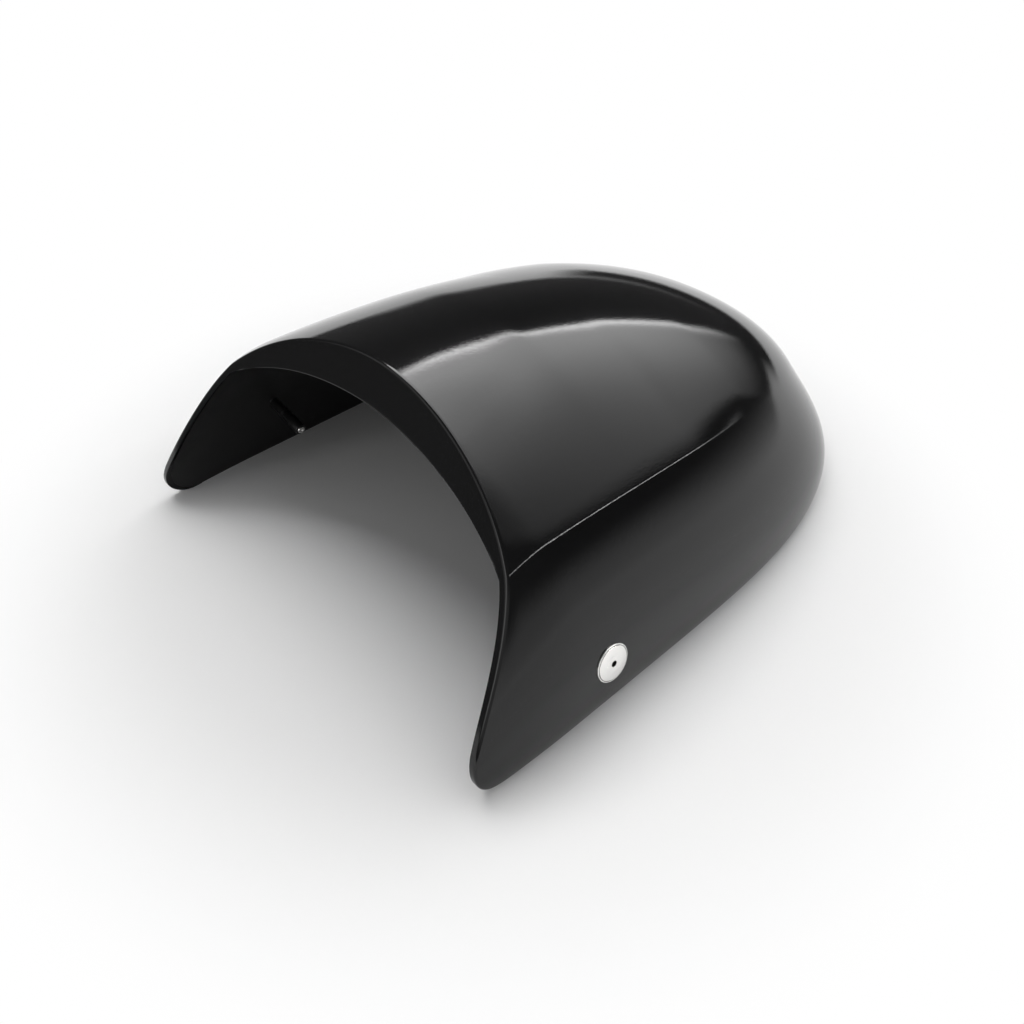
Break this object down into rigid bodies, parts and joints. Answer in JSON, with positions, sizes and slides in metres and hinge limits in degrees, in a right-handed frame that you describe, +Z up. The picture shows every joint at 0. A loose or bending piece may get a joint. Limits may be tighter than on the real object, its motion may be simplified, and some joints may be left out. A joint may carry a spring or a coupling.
{
  "type": "motorbike seat cowl",
  "caption": "Glossy black moulded seat cowl: open-fronted shell with creased shoulders, a crescent front flange and a pin at each side.",
  "frame": {"origin": "centre of the part's box on the plane of the bottom edge", "axes": "X across the cowl, +Y towards the tail, +Z up"},
  "size_m": [0.2656, 0.3352, 0.1198],
  "materials": {
    "gloss_black": "gloss black paint with a fine grain over a moulded shell",
    "stainless": "bright turned stainless steel",
    "black_sleeve": "satin black"
  },
  "bodies": {
    "root": {"cowl_shell": "gloss_black", "bolt_right": "stainless", "bolt_left": "stainless", "sleeve_right": "black_sleeve", "sleeve_left": "black_sleeve"}
  },
  "joints": []
}
